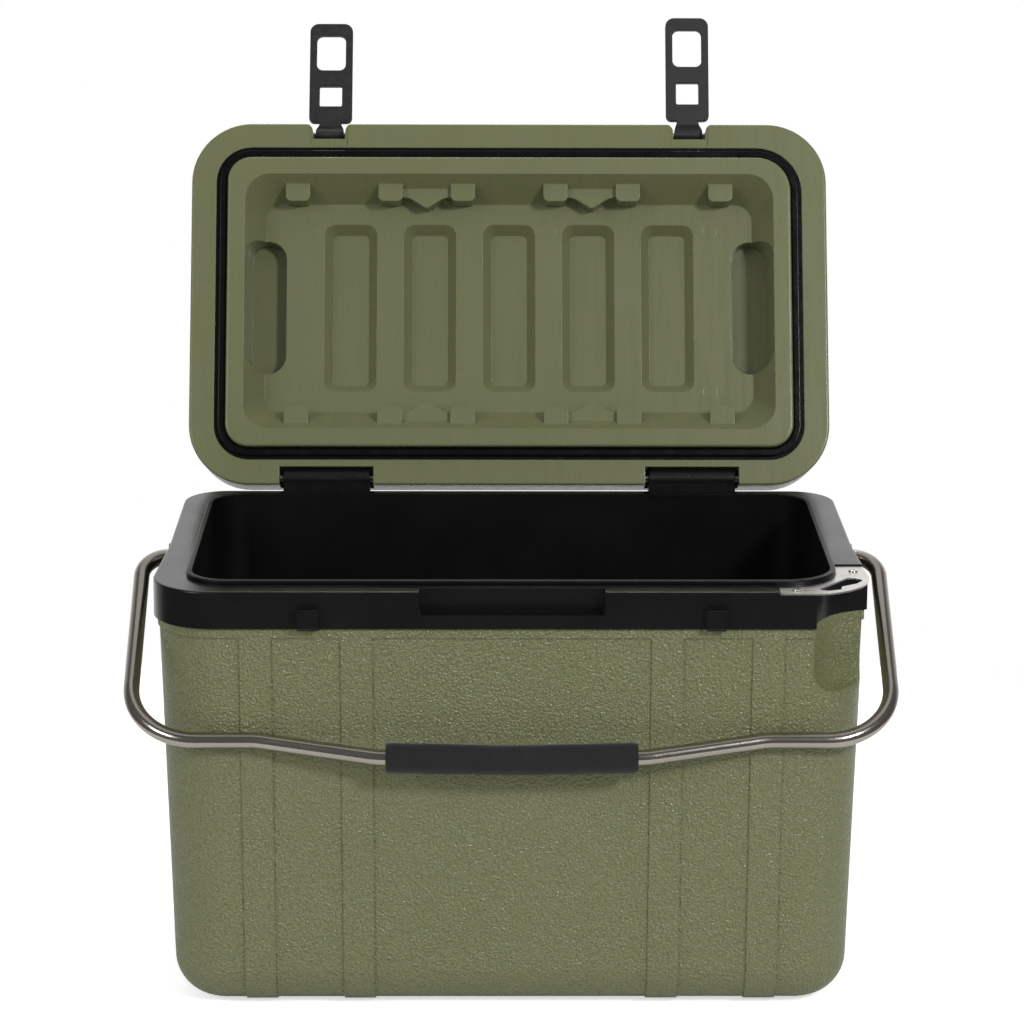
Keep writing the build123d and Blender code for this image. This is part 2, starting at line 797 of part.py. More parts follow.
# Wall that the pins are held in, beside each notch
def pin_bosses(growth):
    """Solid cheeks beside the notches, the inner one deep enough to slip the pin in."""
    with BuildPart() as bosses:
        for side in (-1, 1):
            for depth, toward in ((hinge_pin_grip, 1), (2 * hinge_pin_grip, -1)):
                edge = side * strap_x + side * toward * hinge_notch_width / 2
                end = edge + side * toward * (depth + lid_wall + growth)
                add(
                    block(
                        sorted((edge, end)),
                        (lid_back - boss_depth - growth, lid_back),
                        (skin_height, hinge_z + boss_depth / 2 + growth),
                    )
                )
            for depth, toward in ((strap_pin_grip, 1), (2 * strap_pin_grip, -1)):
                edge = side * strap_x + side * toward * strap_notch_width / 2
                end = edge + side * toward * (depth + lid_wall + growth)
                add(
                    block(
                        sorted((edge, end)),
                        (lid_front, lid_front + boss_depth / 1.4 + growth),
                        (skin_height, pin_z + boss_depth / 2 + growth),
                    )
                )
    return bosses.part


def pin_holes():
    """Holes for the hinge pins and the strap pins in the lid's cheeks."""
    with BuildPart() as holes:
        for side in (-1, 1):
            near = side * strap_x - side * (hinge_notch_width / 2 + 2 * hinge_pin_grip)
            far = side * strap_x + side * (hinge_notch_width / 2 + hinge_pin_grip)
            with BuildSketch(Plane.YZ.offset(min(near, far))):
                with Locations((hinge_y, hinge_z)):
                    Circle(hinge_pin_radius + running_gap)
            extrude(amount=abs(far - near))
            near = side * strap_x - side * (strap_notch_width / 2 + 2 * strap_pin_grip)
            far = side * strap_x + side * (strap_notch_width / 2 + strap_pin_grip)
            with BuildSketch(Plane.YZ.offset(min(near, far))):
                with Locations((pin_y, pin_z)):
                    Circle(strap_pin_radius + running_gap)
            extrude(amount=abs(far - near))
    return holes.part


def lid_block(inset, bottom, top, rounding):
    """Drafted lid shape between two heights, with a rounded top edge."""
    with BuildPart() as solid:
        with BuildSketch(Plane.XY.offset(bottom)):
            RectangleRounded(lid_width - 2 * inset, lid_depth - 2 * inset, lid_corner - inset)
        extrude(amount=top - bottom, taper=lid_draft)
        fillet(solid.faces().sort_by(Axis.Z)[-1].edges(), rounding)
    return solid.part


with BuildPart() as lid_cavity:
    add(lid_block(lid_wall, skin_height, lid_top - lid_wall, lid_top_round - lid_wall))
    add(strap_notches(notch_skin), mode=Mode.SUBTRACT)
    add(hinge_notches(notch_skin), mode=Mode.SUBTRACT)
    add(pin_bosses(0), mode=Mode.SUBTRACT)

with BuildPart() as lid_skin:
    add(lid_block(0, skin_height, lid_top, lid_top_round))
    with BuildSketch(Plane.XY.offset(lid_top)):
        RectangleRounded(
            lid_width - 2 * lid_tray_inset, lid_depth - 2 * lid_tray_inset, lid_corner / 2
        )
    extrude(amount=-lid_tray_depth, taper=30, mode=Mode.SUBTRACT)
    add(strap_notches(0, strap_notch_round), mode=Mode.SUBTRACT)
    add(hinge_notches(0), mode=Mode.SUBTRACT)
    add(lid_cavity.part, mode=Mode.SUBTRACT)
    add(pin_holes(), mode=Mode.SUBTRACT)
save(lid_skin.part.rotate(hinge_axis, open_lid), "lid_outer_shell")


# Inside of the lid
def recess_solid(growth, bottom, top):
    """Sloped dish of the recess, grown by a wall where asked."""
    rise = recess_depth
    with BuildPart() as solid:
        with BuildSketch(Plane.XY.offset(bottom)):
            RectangleRounded(
                lid_width - 2 * recess_inset + 2 * growth,
                lid_depth - 2 * recess_inset + 2 * growth,
                recess_corner + growth,
            )
        with BuildSketch(Plane.XY.offset(top)):
            RectangleRounded(
                lid_width - 2 * (recess_inset + recess_side_slope) + 2 * growth,
                lid_depth - 2 * (recess_inset + recess_end_slope) + 2 * growth,
                recess_floor_corner + growth,
            )
        loft(ruled=True)
    return solid.part


def panel_solids(growth, bottom, depth):
    """The five sunk panels of the recess's floor."""
    with BuildPart() as solids:
        for index in range(panel_count):
            x = (index - (panel_count - 1) / 2) * panel_pitch
            with BuildSketch(Plane.XY.offset(bottom)):
                with Locations((x, 0)):
                    RectangleRounded(
                        panel_width + 2 * growth,
                        panel_length + 2 * growth,
                        panel_corner + growth,
                    )
            with BuildSketch(Plane.XY.offset(bottom + depth)):
                with Locations((x, 0)):
                    RectangleRounded(
                        panel_width - 2 * panel_slope + 2 * growth,
                        panel_length - 2 * panel_slope + 2 * growth,
                        panel_corner / 2 + growth,
                    )
            loft(ruled=True)
    return solids.part


def pocket_solids(growth, bottom, top):
    """The two pill-shaped pockets at the recess's ends, narrower at the bottom."""
    place = lid_width / 2 - recess_inset - pocket_width / 2 - 0.5
    with BuildPart() as solids:
        for side in (-1, 1):
            for level, inset in ((bottom, 0), (top, pocket_slope)):
                with BuildSketch(Plane.XY.offset(level)):
                    with Locations((side * place, 0)):
                        SlotOverall(
                            pocket_length + 2 * (growth - inset),
                            pocket_width + 2 * (growth - inset),
                            rotation=90,
                        )
            loft(ruled=True)
    return solids.part


def lug_solids():
    """Lugs on the recess's front and rear slopes, and the pointed brackets between pairs."""
    wall_line = lid_depth / 2 - recess_inset + liner_wall
    reach = lid_depth / 2 - lug_reach
    with BuildPart() as solids:
        for end in (-1, 1):
            with BuildSketch(Plane.XY.offset(flange_height + lug_level)) as lugs:
                for place in lug_places:
                    with Locations(
                        (-place, end * (wall_line + reach) / 2),
                        (place, end * (wall_line + reach) / 2),
                    ):
                        Rectangle(lug_width, wall_line - reach)
                near = lugs.vertices().filter_by(lambda v: abs(v.Y) < reach + 1)
                fillet(near, lug_corner)
            extrude(amount=floor_height + liner_wall - flange_height - lug_level)
            for side in (-1, 1):
                middle = side * (lug_places[0] + lug_places[1]) / 2
                half_span = (lug_places[1] - lug_places[0]) / 2
                base = end * (lid_depth / 2 - bracket_reach)
                tip = end * (lid_depth / 2 - bracket_tip)
                back = end * wall_line
                turn = half_span * 0.5
                with BuildSketch(Plane.XY.offset(flange_height + bracket_level)) as bracket:
                    with BuildLine():
                        Polyline(
                            (middle - half_span, back),
                            (middle - half_span, base),
                            (middle - turn, base),
                            (middle, tip),
                            (middle + turn, base),
                            (middle + half_span, base),
                            (middle + half_span, back),
                            close=True,
                        )
                    make_face()
                    bends = bracket.vertices().filter_by(
                        lambda v: abs(abs(v.X - middle) - turn) < 0.1
                    )
                    fillet(bends, 13.0)
                    point = bracket.vertices().filter_by(lambda v: abs(v.Y - tip) < 0.1)
                    fillet(point, 3.5)
                extrude(amount=floor_height + liner_wall - flange_height - bracket_level)
    return solids.part


dish_bottom = flange_height - plug_proud
dish_back = recess_solid(liner_wall, dish_bottom, floor_height + liner_wall)
with BuildPart() as lugs:
    add(lug_solids())
    add(dish_back, mode=Mode.INTERSECT)

with BuildPart() as lid_liner:
    with BuildSketch(Plane.XY.offset(flange_height)):
        RectangleRounded(lid_width, lid_depth, lid_corner)
    extrude(amount=flange_thickness)
    fillet(lid_liner.faces().sort_by(Axis.Z)[0].edges(), 1.8)
    with BuildSketch(Plane.XY.offset(flange_height)):
        add(lid_face(flange_width - liner_wall))
    extrude(amount=flange_thickness + liner_wall)
    with BuildSketch(Plane.XY.offset(dish_bottom)):
        add(lid_face(plug_inset))
    extrude(amount=plug_proud + flange_thickness + liner_wall)
    fillet(lid_liner.faces().sort_by(Axis.Z)[0].edges(), 2.0)
    with BuildSketch(Plane.XY.offset(dish_bottom + liner_wall)):
        add(lid_face(plug_inset + liner_wall))
    extrude(amount=plug_proud + flange_thickness, mode=Mode.SUBTRACT)
    add(dish_back)
    add(panel_solids(liner_wall, floor_height, panel_depth + liner_wall))
    add(pocket_solids(liner_wall, dish_bottom + liner_wall, floor_height + pocket_depth + liner_wall))
    add(recess_solid(0, dish_bottom, floor_height), mode=Mode.SUBTRACT)
    add(panel_solids(0, floor_height, panel_depth), mode=Mode.SUBTRACT)
    add(pocket_solids(0, dish_bottom, floor_height + pocket_depth), mode=Mode.SUBTRACT)
    add(lugs.part)
    # shallow recess behind each strap notch
    with BuildSketch(Plane.XY.offset(flange_height)):
        with Locations((-strap_x, lid_front), (strap_x, lid_front)):
            RectangleRounded(strap_recess_width, 2 * (flange_width - 1), strap_notch_round / 2)
    extrude(amount=strap_recess_depth, mode=Mode.SUBTRACT)
    # groove of the gasket
    with BuildSketch(Plane.XY.offset(flange_height)):
        add(lid_face(flange_width))
        add(lid_face(plug_inset), mode=Mode.SUBTRACT)
    extrude(amount=flange_thickness, mode=Mode.SUBTRACT)
    add(strap_notches(0, strap_notch_round), mode=Mode.SUBTRACT)
    add(hinge_notches(0), mode=Mode.SUBTRACT)
save(lid_liner.part.rotate(hinge_axis, open_lid), "lid_liner")

with BuildPart() as gasket:
    with BuildSketch(Plane.XY.offset(flange_height)):
        add(lid_face(flange_width + fit_gap))
        add(lid_face(plug_inset - fit_gap), mode=Mode.SUBTRACT)
    extrude(amount=flange_thickness - fit_gap)
    with BuildSketch(Plane.XY.offset(flange_height)):
        add(lid_face(bulb_inset))
        add(lid_face(plug_inset - 3 * fit_gap), mode=Mode.SUBTRACT)
    extrude(amount=-gasket_bulb)
    fillet(gasket.faces().sort_by(Axis.Z)[0].edges(), gasket_bulb / 2)
save(gasket.part.rotate(hinge_axis, open_lid), "lid_gasket")

with BuildPart() as lid_foam:
    add(
        lid_block(
            lid_wall + soft_gap,
            groove_top + liner_wall + soft_gap,
            lid_top - lid_wall - soft_gap,
            lid_top_round - lid_wall,
        )
    )
    add(strap_notches(notch_skin + soft_gap), mode=Mode.SUBTRACT)
    add(hinge_notches(notch_skin + soft_gap), mode=Mode.SUBTRACT)
    add(pin_bosses(soft_gap), mode=Mode.SUBTRACT)
    foam_inset = liner_wall + soft_gap
    add(recess_solid(foam_inset, dish_bottom, floor_height + foam_inset), mode=Mode.SUBTRACT)
    add(panel_solids(foam_inset, floor_height, panel_depth + foam_inset), mode=Mode.SUBTRACT)
    add(
        pocket_solids(foam_inset, dish_bottom, floor_height + pocket_depth + foam_inset),
        mode=Mode.SUBTRACT,
    )
save(lid_foam.part.rotate(hinge_axis, open_lid), "lid_foam")


# Straps, modelled hanging over their catches and then folded and swung with the lid
def strap_neck(x):
    """Bent neck from the barrel to the blade, where it is narrower."""
    inner = -half_depth - strap_gap
    outer = inner - strap_thickness
    with BuildPart() as neck:
        with BuildSketch(Plane.YZ.offset(x - strap_barrel_width / 2)):
            with BuildLine():
                Polyline(
                    (pin_y + 1.0, pin_z + strap_barrel_radius - 0.2),
                    (outer, pin_z - shoulder_reach / 2 + 1.5),
                    (outer, pin_z - shoulder_reach - 5.0),
                    (inner, pin_z - shoulder_reach - 5.0),
                    (inner, pin_z - shoulder_reach / 2 - 3.5),
                    (pin_y + 1.0, pin_z - strap_barrel_radius + 0.2),
                    close=True,
                )
            make_face()
        extrude(amount=strap_barrel_width)
        with BuildSketch(Plane.XZ.offset(-pin_y - strap_barrel_radius)):
            with BuildLine():
                Polyline(
                    (x - strap_barrel_width / 2, pin_z + strap_barrel_radius),
                    (x + strap_barrel_width / 2, pin_z + strap_barrel_radius),
                    (x + strap_barrel_width / 2, pin_z - strap_barrel_radius),
                    (x + neck_width / 2, pin_z - shoulder_reach),
                    (x + neck_width / 2, pin_z - shoulder_reach - 5.0),
                    (x - neck_width / 2, pin_z - shoulder_reach - 5.0),
                    (x - neck_width / 2, pin_z - shoulder_reach),
                    (x - strap_barrel_width / 2, pin_z - strap_barrel_radius),
                    close=True,
                )
            make_face()
        extrude(amount=pin_y + strap_barrel_radius - outer, mode=Mode.INTERSECT)
    return neck.part


def strap(x):
    """Strap with a barrel on its pin, a bent neck, a small and a large window."""
    inner = -half_depth - strap_gap
    with BuildPart() as latch:
        with BuildSketch(Plane.XZ.offset(-inner)) as blade:
            with Locations((x, pin_z - (shoulder_reach + strap_reach) / 2)):
                Rectangle(strap_width, strap_reach - shoulder_reach)
            rows = blade.vertices().group_by(Axis.Y)
            fillet(rows[0], strap_end_corner)
            rows = blade.vertices().group_by(Axis.Y)
            fillet(rows[-1], strap_shoulder_corner)
            with Locations((x, pin_z - small_window_reach - small_window[1] / 2)):
                RectangleRounded(*small_window, mode=Mode.SUBTRACT)
            with Locations((x, pin_z - big_window_reach - big_window[1] / 2)):
                RectangleRounded(*big_window, mode=Mode.SUBTRACT)
        extrude(amount=strap_thickness)
        chamfer(latch.faces().filter_by(Axis.Y).edges(), 0.5)
        add(strap_neck(x))
        with BuildSketch(Plane.YZ.offset(x - strap_barrel_width / 2)):
            with Locations((pin_y, pin_z)):
                Circle(strap_barrel_radius)
        extrude(amount=strap_barrel_width)
        with BuildSketch(Plane.YZ.offset(x - strap_barrel_width / 2)):
            with Locations((pin_y, pin_z)):
                Circle(strap_pin_radius + running_gap)
        extrude(amount=strap_barrel_width, mode=Mode.SUBTRACT)
    return latch.part


def strap_pin(x):
    """Pin that a strap turns on, held in the cheeks of its notch."""
    length = strap_notch_width + 2 * strap_pin_grip
    with BuildPart() as pin:
        with BuildSketch(Plane.YZ.offset(x - length / 2)):
            with Locations((pin_y, pin_z)):
                Circle(strap_pin_radius)
        extrude(amount=length)
        chamfer(pin.faces().filter_by(Axis.X).edges(), 0.3)
    return pin.part


left_strap = strap(-strap_x).rotate(strap_axis, strap_fold_left)
right_strap = strap(strap_x).rotate(strap_axis, strap_fold_right)
save(left_strap.rotate(hinge_axis, open_lid), "left_latch")
save(right_strap.rotate(hinge_axis, open_lid), "right_latch")
save(strap_pin(-strap_x).rotate(hinge_axis, open_lid), "left_latch_pin")
save(strap_pin(strap_x).rotate(hinge_axis, open_lid), "right_latch_pin")

# Bail: a bent tube in the plane that leans forward on the body's front
tilt = radians(bail_rest_angle)
bail_plane = Plane(origin=(0, 0, bail_z), x_dir=(1, 0, 0), z_dir=(0, sin(tilt), -cos(tilt)))
bail_neck_reach = bail_reach + bail_neck_drop
bail_middle_reach = bail_reach + bail_middle_drop
half_route = [
    (tube_end, 0),
    (bail_half_width, 0),
    (bail_half_width, bail_reach),
    (half_collar - bail_shoulder_inset, bail_reach),
    (bail_neck, bail_neck_reach),
]
half_bends = [bail_pivot_bend, bail_corner_bend, bail_shoulder_bend, bail_neck_bend]
route = [(-u, s) for u, s in half_route] + [(0, bail_middle_reach)] + half_route[::-1]
bends = half_bends + [bail_middle_bend] + half_bends[::-1]
with BuildPart() as bail:
    with BuildLine(bail_plane) as tube_line:
        FilletPolyline(*route, radius=bends)
    with BuildSketch(Plane(origin=tube_line.line @ 0, z_dir=tube_line.line % 0)):
        Circle(tube_radius)
        Circle(tube_radius - tube_wall, mode=Mode.SUBTRACT)
    sweep()
save(bail.part, "bail_handle")

# The grip follows the tube's middle
grip_slope = (bail_middle_reach - bail_neck_reach) / bail_neck
grip_end = (grip_length / 2, bail_middle_reach - grip_slope * grip_length / 2)
with BuildPart() as grip:
    with BuildLine(bail_plane) as grip_line:
        FilletPolyline(
            (-grip_end[0], grip_end[1]),
            (0, bail_middle_reach),
            grip_end,
            radius=bail_middle_bend,
        )
    with BuildSketch(Plane(origin=grip_line.line @ 0, z_dir=grip_line.line % 0)):
        Circle(grip_radius)
        Circle(tube_radius + soft_gap, mode=Mode.SUBTRACT)
    sweep()
    rims = grip.edges().filter_by(GeomType.CIRCLE)
    fillet(rims.filter_by(lambda e: e.radius > grip_radius - 0.1), 1.2)
save(grip.part, "foam_grip")


# Bushes in the collar's sides and the rings that keep the tube in them
def ring(start, end, outer, side):
    """Ring round the bail's axis between two distances from the middle."""
    with BuildPart() as solid:
        with BuildSketch(Plane.YZ.offset(side * start)):
            with Locations((0, bail_z)):
                Circle(outer)
                Circle(tube_radius + running_gap, mode=Mode.SUBTRACT)
        extrude(amount=side * (end - start))
    return solid.part


for name, side in (("left", -1), ("right", 1)):
    with BuildPart() as bush:
        add(ring(bush_inner_end, half_collar, bush_radius, side))
        add(ring(half_collar, half_collar + bush_flange_thickness, bush_flange_radius, side))
    save(bush.part, f"{name}_pivot_bush")

retainer_end = bush_inner_end - seam
with BuildPart() as retainers:
    for side in (-1, 1):
        add(ring(retainer_end - retainer_thickness, retainer_end, retainer_radius, side))
save(retainers.part, "bail_retainers")
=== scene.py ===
import bpy
import bmesh
from math import cos, sin, pi, radians, sqrt
from mathutils import Matrix, Vector


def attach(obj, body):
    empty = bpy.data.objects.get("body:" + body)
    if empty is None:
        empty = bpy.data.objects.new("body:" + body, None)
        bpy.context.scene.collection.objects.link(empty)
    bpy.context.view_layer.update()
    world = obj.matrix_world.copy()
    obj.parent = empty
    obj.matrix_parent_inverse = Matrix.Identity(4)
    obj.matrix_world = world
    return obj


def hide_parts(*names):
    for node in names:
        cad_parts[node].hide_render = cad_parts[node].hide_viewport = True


# Hard-sided cooler, in metres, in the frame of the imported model
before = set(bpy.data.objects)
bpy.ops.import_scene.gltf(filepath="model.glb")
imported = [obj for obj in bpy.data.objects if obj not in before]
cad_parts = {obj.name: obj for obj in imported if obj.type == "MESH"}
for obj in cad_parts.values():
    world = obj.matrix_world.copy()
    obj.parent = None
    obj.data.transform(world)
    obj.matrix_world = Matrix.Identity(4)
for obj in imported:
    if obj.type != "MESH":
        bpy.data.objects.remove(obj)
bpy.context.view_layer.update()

hinge_place = Vector((0, 0.1371, 0.329))
lid_open_angle = radians(113.2)
recess_floor = 0.0113           # height over the hinge, with the lid shut
bail_height = 0.303
bail_rest_angle = radians(32.5)

# Camera, placed and aimed as the photographer's was
camera_place = Vector((-0.0207, -2.433, 0.9666))
camera_pitch = 0.2531
camera_yaw = 0.0089
camera_roll = 0.003
camera_lens = 119.96
camera_sensor = 36.0
camera_near = 0.05

camera = bpy.data.objects.new("camera", bpy.data.cameras.new("camera"))
bpy.context.scene.collection.objects.link(camera)
camera.data.sensor_width = camera_sensor
camera.data.lens = camera_lens
camera.data.clip_start = camera_near
aim = Matrix.Rotation(-camera_yaw, 4, "Z") @ Matrix.Rotation(pi / 2 - camera_pitch, 4, "X")
camera.matrix_world = Matrix.Translation(camera_place) @ aim @ Matrix.Rotation(camera_roll, 4, "Z")
bpy.context.scene.camera = camera
bpy.context.scene.view_settings.view_transform = "Standard"

# Nearly all values of a noise texture lie between these
noise_low = 0.3
noise_high = 0.7


class Finish:
    """A procedural material whose textures follow the object's own coordinates."""

    def __init__(self, name, colour, roughness, metallic=0.0, specular=0.5):
        self.material = bpy.data.materials.new(name)
        self.material.use_nodes = True
        self.tree = self.material.node_tree
        self.shader = self.tree.nodes["Principled BSDF"]
        self.shader.inputs["Base Color"].default_value = (*colour, 1)
        self.shader.inputs["Roughness"].default_value = roughness
        self.shader.inputs["Metallic"].default_value = metallic
        self.shader.inputs["Specular IOR Level"].default_value = specular
        self.place = self.tree.nodes.new("ShaderNodeTexCoord").outputs["Object"]
        self.normal = None

    def node(self, kind, **settings):
        made = self.tree.nodes.new(kind)
        for key, value in settings.items():
            setattr(made, key, value)
        return made

    def stretched(self, scale, turn=(0, 0, 0)):
        """Object coordinates turned and scaled, for streaks that run one way."""
        mapping = self.node("ShaderNodeMapping")
        mapping.inputs["Rotation"].default_value = turn
        mapping.inputs["Scale"].default_value = scale
        self.tree.links.new(self.place, mapping.inputs["Vector"])
        return mapping.outputs["Vector"]

    def noise(self, scale, detail=2.0, roughness=0.5, place=None, distortion=0.0):
        made = self.node("ShaderNodeTexNoise")
        made.inputs["Scale"].default_value = scale
        made.inputs["Detail"].default_value = detail
        made.inputs["Roughness"].default_value = roughness
        made.inputs["Distortion"].default_value = distortion
        self.tree.links.new(place or self.place, made.inputs["Vector"])
        return made.outputs["Fac"]

    def cells(self, scale, warp=0.0, warp_scale=1.0, feature="SMOOTH_F1", place=None):
        """Distance to the middle of irregular cells."""
        source = place or self.place
        if warp > 0:
            wobble = self.node("ShaderNodeTexNoise")
            wobble.inputs["Scale"].default_value = warp_scale
            self.tree.links.new(source, wobble.inputs["Vector"])
            shift = self.node("ShaderNodeVectorMath", operation="SCALE")
            shift.inputs["Scale"].default_value = warp
            self.tree.links.new(wobble.outputs["Color"], shift.inputs[0])
            total = self.node("ShaderNodeVectorMath", operation="ADD")
            self.tree.links.new(source, total.inputs[0])
            self.tree.links.new(shift.outputs["Vector"], total.inputs[1])
            source = total.outputs["Vector"]
        made = self.node("ShaderNodeTexVoronoi", feature=feature)
        made.inputs["Scale"].default_value = scale
        self.tree.links.new(source, made.inputs["Vector"])
        return made.outputs["Distance"]

    def spread(self, value, low, high, new_low, new_high):
        """Maps a range of a texture to another range."""
        made = self.node("ShaderNodeMapRange")
        made.inputs["From Min"].default_value = low
        made.inputs["From Max"].default_value = high
        made.inputs["To Min"].default_value = new_low
        made.inputs["To Max"].default_value = new_high
        self.tree.links.new(value, made.inputs["Value"])
        return made.outputs["Result"]

    def join(self, operation, a, b):
        made = self.node("ShaderNodeMath", operation=operation)
        for socket, value in zip(made.inputs, (a, b)):
            if isinstance(value, (int, float)):
                socket.default_value = value
            else:
                self.tree.links.new(value, socket)
        return made.outputs["Value"]

    def tint(self, texture, low, high, share, colour):
        """Blends up to a share of a second colour in, as a texture rises from low to high."""
        factor = self.spread(texture, low, high, 0.0, share)
        made = self.node("ShaderNodeMix", data_type="RGBA")
        socket = self.shader.inputs["Base Color"]
        if socket.is_linked:
            self.tree.links.new(socket.links[0].from_socket, made.inputs["A"])
        else:
            made.inputs["A"].default_value = socket.default_value
        made.inputs["B"].default_value = (*colour, 1)
        self.tree.links.new(factor, made.inputs["Factor"])
        self.tree.links.new(made.outputs["Result"], socket)

    def rough(self, texture, low, high):
        """Roughness that follows a noise over the middle of its range."""
        value = self.spread(texture, noise_low, noise_high, low, high)
        self.tree.links.new(value, self.shader.inputs["Roughness"])

    def round_edges(self, radius):
        made = self.node("ShaderNodeBevel", samples=4)
        made.inputs["Radius"].default_value = radius
        self.normal = made.outputs["Normal"]
        self.tree.links.new(self.normal, self.shader.inputs["Normal"])

    def bump(self, height, distance, strength=1.0):
        made = self.node("ShaderNodeBump")
        made.inputs["Distance"].default_value = distance
        made.inputs["Strength"].default_value = strength
        self.tree.links.new(height, made.inputs["Height"])
        if self.normal is not None:
            self.tree.links.new(self.normal, made.inputs["Normal"])
        self.normal = made.outputs["Normal"]
        self.tree.links.new(self.normal, self.shader.inputs["Normal"])


def lid_spot(across, along, above):
    """Point in the open lid, from its place across, in front of and above the hinge when shut."""
    turn = Matrix.Rotation(-lid_open_angle, 3, "X")
    return hinge_place + turn @ Vector((across, -along, above))


def ring_mark(finish, centre, radius, width):
    """Value that rises from 0 to 1 on a thin ring round a point, near the surface it lies on."""
    away = finish.node("ShaderNodeVectorMath", operation="DISTANCE")
    finish.tree.links.new(finish.place, away.inputs[0])
    away.inputs[1].default_value = centre
    off = finish.join("ABSOLUTE", finish.join("SUBTRACT", away.outputs["Value"], radius), 0.0)
    return finish.spread(off, 0.0, width, 1.0, 0.0)


def paint(finish, *nodes):
    """Gives CAD nodes a finish."""
    for node in nodes:
        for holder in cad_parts[node].material_slots:
            holder.material = finish.material


# Olive skin: pebbled grain that sparkles where the light grazes it
olive_grain = Finish("olive_grain", (0.180, 0.194, 0.086), 0.42, specular=0.5)
pebbles = olive_grain.cells(520, 0.0018, 300, "F1")
fine_grain = olive_grain.noise(1500, 3, 0.6)
broad = olive_grain.noise(9, 4, 0.55)
olive_grain.tint(broad, 0.35, 0.7, 0.5, (0.198, 0.209, 0.100))
# Darker colour toward the low creases between the pebbles: painted shade
olive_grain.tint(pebbles, 0.35, 0.8, 0.5, (0.112, 0.121, 0.050))
olive_grain.rough(fine_grain, 0.18, 0.32)
olive_grain.round_edges(0.0009)
olive_grain.bump(olive_grain.spread(pebbles, 0.0, 0.85, 1.0, 0.0), 0.0011, 1.0)
olive_grain.bump(fine_grain, 0.00012, 0.8)
olive_grain.bump(olive_grain.noise(26, 2, 0.5), 0.0006, 0.35)
paint(olive_grain, "outer_shell", "lid_outer_shell")

# Smooth inside of the lid, with streaks along it and the faint rings of the mould's ejector pins
olive_satin = Finish("olive_satin", (0.152, 0.164, 0.076), 0.33, specular=0.5)
streaks = olive_satin.noise(150, 4, 0.6, olive_satin.stretched((1.0, 0.12, 0.12)))
cloud = olive_satin.noise(14, 4, 0.55)
olive_satin.tint(cloud, 0.35, 0.7, 0.4, (0.168, 0.178, 0.092))
olive_satin.tint(streaks, 0.5, 0.75, 0.25, (0.118, 0.130, 0.058))
olive_satin.rough(streaks, 0.22, 0.36)
olive_satin.round_edges(0.0011)
olive_satin.bump(streaks, 0.00012, 0.35)
olive_satin.bump(olive_satin.noise(900, 2, 0.5), 0.00002, 0.4)
ejector_radius = 0.0054
ejector_line = 0.0006
for across, along in ((-0.156, 0.199), (0.031, 0.199), (0.1575, 0.199), (0.157, 0.0702)):
    spot = lid_spot(across, along, recess_floor)
    olive_satin.bump(ring_mark(olive_satin, spot, ejector_radius, ejector_line), 0.00012, 0.6)
paint(olive_satin, "lid_liner")

# Moulded black collar: satin, with light scuffs
black_satin = Finish("black_satin", (0.0055, 0.0055, 0.0061), 0.24, specular=0.42)
scuffs = black_satin.noise(75, 5, 0.65, black_satin.stretched((1.0, 1.0, 3.0), (0.3, 0.2, 0.5)))
haze = black_satin.noise(11, 4, 0.6)
black_satin.tint(scuffs, 0.58, 0.8, 0.35, (0.018, 0.018, 0.019))
black_satin.rough(haze, 0.15, 0.28)
black_satin.round_edges(0.0007)
black_satin.bump(black_satin.noise(1300, 2, 0.5), 0.00002, 0.5)
black_satin.bump(black_satin.noise(20, 2, 0.5), 0.0005, 0.3)
paint(black_satin, "rim_frame")

# Tub: the same black, duller
black_tub = Finish("black_tub", (0.0030, 0.0030, 0.0036), 0.34, specular=0.3)
black_tub.rough(black_tub.noise(13, 4, 0.6), 0.32, 0.46)
black_tub.tint(black_tub.noise(50, 4, 0.6), 0.6, 0.85, 0.3, (0.007, 0.007, 0.008))
black_tub.round_edges(0.0009)
black_tub.bump(black_tub.noise(1300, 2, 0.5), 0.00002, 0.5)
paint(black_tub, "tub_liner")

# Hinge blocks and bushes: nylon with a finer, duller skin
nylon = Finish("nylon", (0.0075, 0.0075, 0.0085), 0.34, specular=0.35)
nylon.rough(nylon.noise(220, 3, 0.6), 0.26, 0.42)
nylon.tint(nylon.noise(120, 4, 0.6), 0.6, 0.85, 0.4, (0.018, 0.018, 0.019))
nylon.round_edges(0.0006)
nylon.bump(nylon.noise(1800, 2, 0.5), 0.00003, 0.5)
paint(nylon, "left_hinge_block", "right_hinge_block")
paint(nylon, "left_pivot_bush", "right_pivot_bush", "bail_retainers")

# Straps: dense rubber with a soft sheen and rubbed edges
strap_rubber = Finish("strap_rubber", (0.017, 0.017, 0.018), 0.42, specular=0.45)
rub = strap_rubber.noise(190, 4, 0.6)
strap_rubber.tint(rub, 0.5, 0.8, 0.5, (0.036, 0.036, 0.037))
strap_rubber.rough(rub, 0.42, 0.58)
strap_rubber.round_edges(0.0007)
strap_rubber.bump(strap_rubber.noise(1600, 3, 0.6), 0.00006, 0.6)
paint(strap_rubber, "left_latch", "right_latch")

# Gasket: softer rubber with a thin gloss
seal_rubber = Finish("seal_rubber", (0.0035, 0.0035, 0.0040), 0.26, specular=0.22)
seal_rubber.rough(seal_rubber.noise(90, 4, 0.6), 0.20, 0.32)
seal_rubber.tint(seal_rubber.noise(150, 3, 0.6), 0.6, 0.85, 0.4, (0.009, 0.009, 0.010))
seal_rubber.bump(seal_rubber.noise(1200, 2, 0.5), 0.00004, 0.5)
paint(seal_rubber, "lid_gasket")

